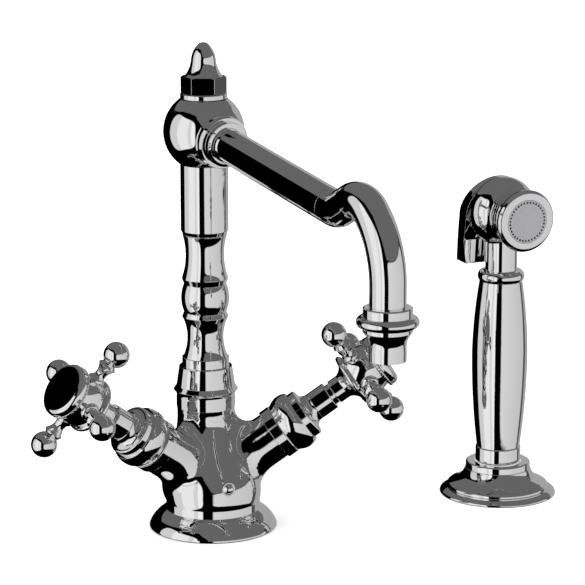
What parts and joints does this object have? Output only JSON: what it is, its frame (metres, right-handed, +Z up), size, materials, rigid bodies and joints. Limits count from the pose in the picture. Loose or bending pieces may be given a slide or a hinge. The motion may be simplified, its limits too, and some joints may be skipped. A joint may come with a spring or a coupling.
{
  "type": "side spray kitchen faucet",
  "caption": "Two-handle deck mixer with a turned column, swivelling ball-mounted spout, cross handles and a separate docked side spray with a thumb lever.",
  "frame": {"origin": "centre of the faucet's base flange on the deck", "axes": "+Z up, -Y toward the user, +X toward the cold valve and the side spray"},
  "size_m": [0.2917, 0.2024, 0.2482],
  "materials": {
    "chrome": "polished",
    "brass": "machined",
    "ceramic": "ground ceramic",
    "seal": "matt",
    "bush": "moulded",
    "spring": "drawn wire",
    "face": "satin"
  },
  "bodies": {
    "faucet_base": {"mixer_body": "chrome", "base_seal": "seal", "front_plug": "chrome", "column_collar": "chrome", "column_baluster": "chrome", "column_sleeve": "chrome", "column_spindle": "brass", "swivel_seals": "seal", "finial_washer": "chrome", "finial_nut": "chrome", "diverter_seat": "brass", "hot_bonnet_ring": "chrome", "hot_bonnet": "chrome", "hot_cartridge": "brass", "hot_stem_sleeve": "chrome", "hot_ceramic_seat": "ceramic", "cold_bonnet_ring": "chrome", "cold_bonnet": "chrome", "cold_cartridge": "brass", "cold_stem_sleeve": "chrome", "cold_ceramic_seat": "ceramic", "spray_base": "chrome", "spray_base_seal": "seal", "spray_holder": "chrome", "spray_bush": "bush"},
    "spout": {"spout_hub": "chrome", "swivel_bushes": "bush", "spout_collar": "chrome", "spout_tube": "chrome", "spout_nose": "chrome", "outlet_ring": "chrome", "aerator_housing": "chrome", "aerator_insert": "bush", "aerator_seal": "seal"},
    "hot_handle": {"hot_spindle": "brass", "hot_ceramic_disc": "ceramic", "hot_handle_hub": "chrome", "hot_handle_arms": "chrome", "hot_rope_ring": "chrome", "hot_cap": "chrome", "hot_handle_screw": "spring"},
    "cold_handle": {"cold_spindle": "brass", "cold_ceramic_disc": "ceramic", "cold_handle_hub": "chrome", "cold_handle_arms": "chrome", "cold_rope_ring": "chrome", "cold_cap": "chrome", "cold_handle_screw": "spring"},
    "diverter": {"diverter_piston": "brass", "diverter_spring": "spring"},
    "handset": {"spray_ferrule": "chrome", "spray_grip": "chrome", "spray_neck_ring": "chrome", "spray_head": "chrome", "spray_face_ring": "chrome", "spray_face": "face", "spray_lever_pin": "spring"},
    "lever": {"spray_lever": "chrome"},
    "plunger": {"spray_plunger": "brass", "spray_plunger_spring": "spring"}
  },
  "joints": [
    {"name": "spout_swivel", "type": "hinge", "parent": "faucet_base", "child": "spout", "pos_m": [0, 0.01, 0.2034], "axis": [0, 0, 1], "range_deg": [-120, 55]},
    {"name": "hot_handle_turn", "type": "hinge", "parent": "faucet_base", "child": "hot_handle", "pos_m": [-0.07535, -0.01846, 0.07844], "axis": [-0.7809, -0.2328, 0.5797], "range_deg": [0, 90]},
    {"name": "cold_handle_turn", "type": "hinge", "parent": "faucet_base", "child": "cold_handle", "pos_m": [0.07535, -0.01846, 0.07844], "axis": [0.7809, -0.2328, 0.5797], "range_deg": [-90, 0]},
    {"name": "diverter_slide", "type": "slide", "parent": "faucet_base", "child": "diverter", "axis": [0, 0, -1], "range_m": [0, 0.004], "stiffness_N_per_m": 2000, "deforming": ["diverter_spring"]},
    {"name": "spray_lift", "type": "slide", "parent": "faucet_base", "child": "handset", "axis": [0, 0, 1], "range_m": [0, 0.06]},
    {"name": "spray_lever_press", "type": "hinge", "parent": "handset", "child": "lever", "pos_m": [0.16105, 0.00349, 0.16265], "axis": [-0.9974, -0.0715, 0], "range_deg": [0, 4], "stiffness_Nm_per_rad": 1.5},
    {"name": "plunger_push", "type": "slide", "parent": "handset", "child": "plunger", "axis": [0.0714, -0.9966, -0.0419], "range_m": [0, 0.0009774], "stiffness_N_per_m": 20, "deforming": ["spray_plunger_spring"]}
  ],
  "couplings": [
    {"joint": "plunger_push", "follows": "spray_lever_press", "m_per_rad": 0.014}
  ]
}
